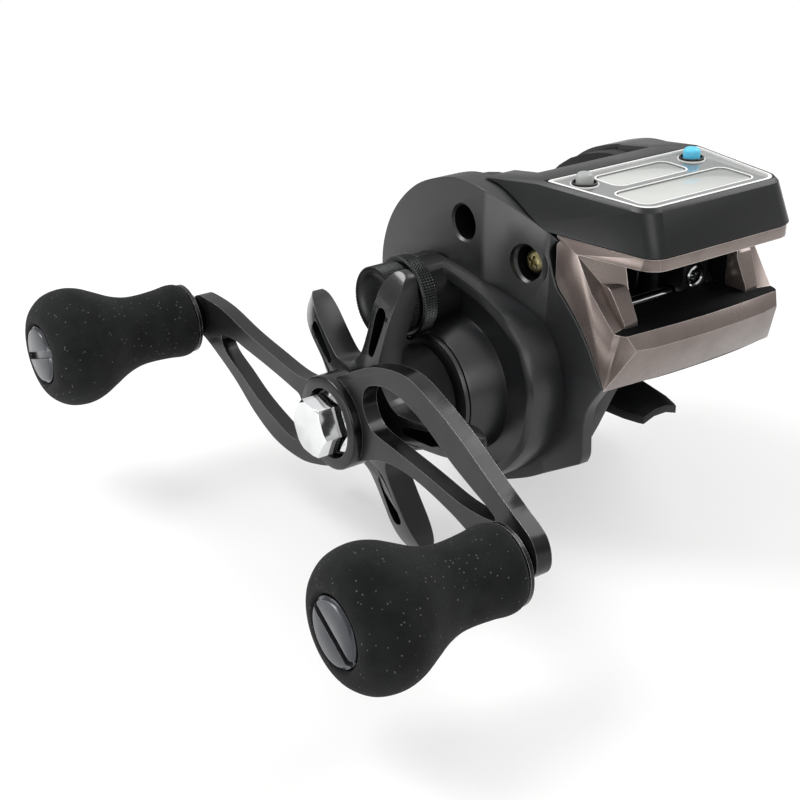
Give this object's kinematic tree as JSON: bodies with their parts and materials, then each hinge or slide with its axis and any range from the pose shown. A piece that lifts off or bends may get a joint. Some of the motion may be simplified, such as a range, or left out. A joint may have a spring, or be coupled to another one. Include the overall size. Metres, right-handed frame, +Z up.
{
  "type": "baitcasting fishing reel with line counter",
  "caption": "Low-profile baitcasting reel with a line-counter display over the line exit, a pierced double handle with bulb-shaped foam knobs, a star drag and a level wind.",
  "frame": {"origin": "middle of the underside of the reel foot, at the crown of its arch", "axes": "+X forward, the way the line leaves; +Y towards the palm side, the handle is on -Y; +Z up, away from the rod"},
  "size_m": [0.1266, 0.1158, 0.0698],
  "materials": {
    "frame": "matt black anodised",
    "cover": "matt graphite black",
    "nose": "rose grey metallic lacquer",
    "housing": "satin black",
    "panel": "glossy light grey",
    "rim": "bright",
    "lcd": "pale grey display window, blank",
    "grey_rubber": "grey rubber",
    "blue_rubber": "light blue rubber",
    "polymer": "moulded black",
    "board": "green lacquer",
    "steel": "satin",
    "brass": "machined",
    "chrome": "polished",
    "spool": "black anodised, satin",
    "arm": "gunmetal, satin with glossy black sides",
    "star": "gloss black",
    "knurl": "knurled, black",
    "foam": "black foam with pale specks",
    "cap": "polished dark",
    "dial": "satin black"
  },
  "bodies": {
    "frame": {"frame": "frame", "reel_foot": "frame", "foot_rivet_front": "steel", "foot_rivet_rear": "steel", "handle_side_cover": "cover", "palm_side_cover": "cover", "front_cover": "nose", "display_housing": "housing", "display_base": "polymer", "display_panel": "panel", "display_rim": "rim", "depth_lcd": "lcd", "mode_lcd": "lcd", "grey_button_ring": "polymer", "blue_button_ring": "polymer", "circuit_board": "board", "coin_cell": "steel", "spool_sensor": "board", "cover_screw_top": "brass", "cover_screw_front": "brass", "guide_rod": "chrome", "spool_bearing_handle": "steel", "spool_bearing_palm": "steel", "drive_shaft_bearing": "steel", "anti_reverse_bearing": "steel", "brake_drum": "brass"},
    "handle": {"handle_arm": "arm", "handle_nut": "chrome", "nut_retainer": "polymer", "drive_shaft": "steel", "drive_sleeve": "steel", "drive_gear": "brass", "level_wind_cog": "polymer", "drag_washer": "polymer", "pressure_washer": "steel", "rear_knob_spindle": "steel", "front_knob_spindle": "steel"},
    "star": {"star_drag": "star"},
    "rear_knob": {"rear_knob_grip": "foam", "rear_knob_collar": "steel", "rear_knob_cap": "cap"},
    "front_knob": {"front_knob_grip": "foam", "front_knob_collar": "steel", "front_knob_cap": "cap"},
    "spool": {"spool": "spool", "spool_shaft": "steel", "pinion_gear": "brass", "brake_rotor": "polymer", "sensor_magnet": "steel"},
    "level_wind_worm": {"worm_shaft": "steel", "worm_gear": "polymer"},
    "idler": {"level_wind_idler": "polymer"},
    "line_guide": {"line_guide": "polymer", "line_guide_ring": "chrome"},
    "thumb_bar": {"thumb_bar": "housing"},
    "grey_button": {"grey_button": "grey_rubber"},
    "blue_button": {"blue_button": "blue_rubber"},
    "cast_control": {"cast_control_cap": "knurl"},
    "brake_dial": {"brake_dial": "dial"}
  },
  "joints": [
    {"name": "handle_turn", "type": "hinge", "parent": "frame", "child": "handle", "pos_m": [0.002, 0, 0.0035], "axis": [0, 1, 0], "continuous": true},
    {"name": "star_turn", "type": "hinge", "parent": "handle", "child": "star", "pos_m": [0.002, 0, 0.0035], "axis": [0, 1, 0], "range_deg": [-270, 270]},
    {"name": "rear_knob_spin", "type": "hinge", "parent": "handle", "child": "rear_knob", "pos_m": [-0.04988, 0, 0.00708], "axis": [0, 1, 0], "continuous": true},
    {"name": "front_knob_spin", "type": "hinge", "parent": "handle", "child": "front_knob", "pos_m": [0.05388, 0, -0.00008], "axis": [0, 1, 0], "continuous": true},
    {"name": "spool_spin", "type": "hinge", "parent": "frame", "child": "spool", "pos_m": [-0.0061, 0, 0.02018], "axis": [0, 1, 0], "continuous": true},
    {"name": "idler_spin", "type": "hinge", "parent": "frame", "child": "idler", "pos_m": [0.01693, 0, 0.00767], "axis": [0, 1, 0], "continuous": true},
    {"name": "worm_spin", "type": "hinge", "parent": "frame", "child": "level_wind_worm", "pos_m": [0.0246, 0, 0.0169], "axis": [0, 1, 0], "continuous": true},
    {"name": "line_guide_slide", "type": "slide", "parent": "frame", "child": "line_guide", "axis": [0, 1, 0], "range_m": [-0.0185, 0.0015]},
    {"name": "thumb_bar_press", "type": "slide", "parent": "frame", "child": "thumb_bar", "axis": [-0.349, 0, -0.9371], "range_m": [0, 0.0035], "stiffness_N_per_m": 400, "springref_m": -0.002},
    {"name": "grey_button_press", "type": "slide", "parent": "frame", "child": "grey_button", "axis": [0, 0, -1], "range_m": [0, 0.0008], "stiffness_N_per_m": 900, "springref_m": -0.001},
    {"name": "blue_button_press", "type": "slide", "parent": "frame", "child": "blue_button", "axis": [0, 0, -1], "range_m": [0, 0.0008], "stiffness_N_per_m": 900, "springref_m": -0.001},
    {"name": "cast_control_turn", "type": "hinge", "parent": "frame", "child": "cast_control", "pos_m": [-0.0061, 0, 0.02018], "axis": [0, 1, 0], "range_deg": [-270, 270]},
    {"name": "brake_dial_turn", "type": "hinge", "parent": "frame", "child": "brake_dial", "pos_m": [-0.0061, 0, 0.02018], "axis": [0, 1, 0], "range_deg": [0, 300]}
  ],
  "couplings": [
    {"joint": "spool_spin", "follows": "handle_turn", "ratio": -6.2},
    {"joint": "idler_spin", "follows": "handle_turn", "ratio": -1.2143},
    {"joint": "worm_spin", "follows": "handle_turn", "ratio": 1.7}
  ]
}
